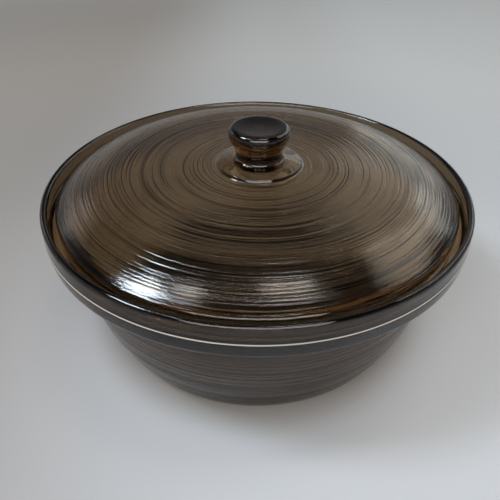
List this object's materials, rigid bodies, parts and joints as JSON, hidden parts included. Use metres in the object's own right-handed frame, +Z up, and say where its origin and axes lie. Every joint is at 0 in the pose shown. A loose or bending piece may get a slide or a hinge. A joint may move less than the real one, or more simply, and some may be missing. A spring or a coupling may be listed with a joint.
{
  "type": "glass casserole dish",
  "caption": "Round casserole dish of smoked brown glass with ringed walls, a tall collar and a ringed lid with a flat round knob.",
  "frame": {"origin": "centre of the base, on the surface that the dish stands on", "axes": "+Z up along the dish's axis; X and Y are any two level directions, because both pieces are turned forms"},
  "size_m": [0.252, 0.252, 0.1293],
  "materials": {
    "dish_glass": "smoked brown glass, glossy collar, ringed wall",
    "lid_glass": "smoked brown glass, ringed top, glossy flank and knob"
  },
  "bodies": {
    "root": {"dish": "dish_glass", "lid": "lid_glass"}
  },
  "joints": []
}
